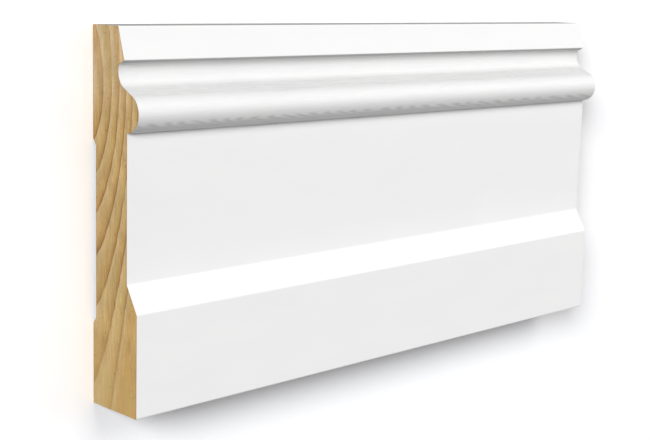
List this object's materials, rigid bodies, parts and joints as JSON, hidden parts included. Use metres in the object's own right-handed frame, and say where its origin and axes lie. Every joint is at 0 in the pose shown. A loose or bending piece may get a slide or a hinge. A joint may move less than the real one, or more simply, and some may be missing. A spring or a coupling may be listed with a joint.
{
  "type": "skirting board length",
  "caption": "Short length of white-primed softwood skirting board with a flat plinth, a splayed step, a sunk panel, a bead and cove under a sloping top fillet, and a relieved back.",
  "frame": {"origin": "middle of the length and of the width, in the plane of the back's pads, which the board lies on", "axes": "+X along the length, +Y from the foot edge to the top edge, +Z out of the moulded face, away from the wall"},
  "size_m": [0.285, 0.145, 0.028],
  "materials": {
    "primed_pine": "satin"
  },
  "bodies": {
    "root": {"skirting_board": "primed_pine"}
  },
  "joints": []
}
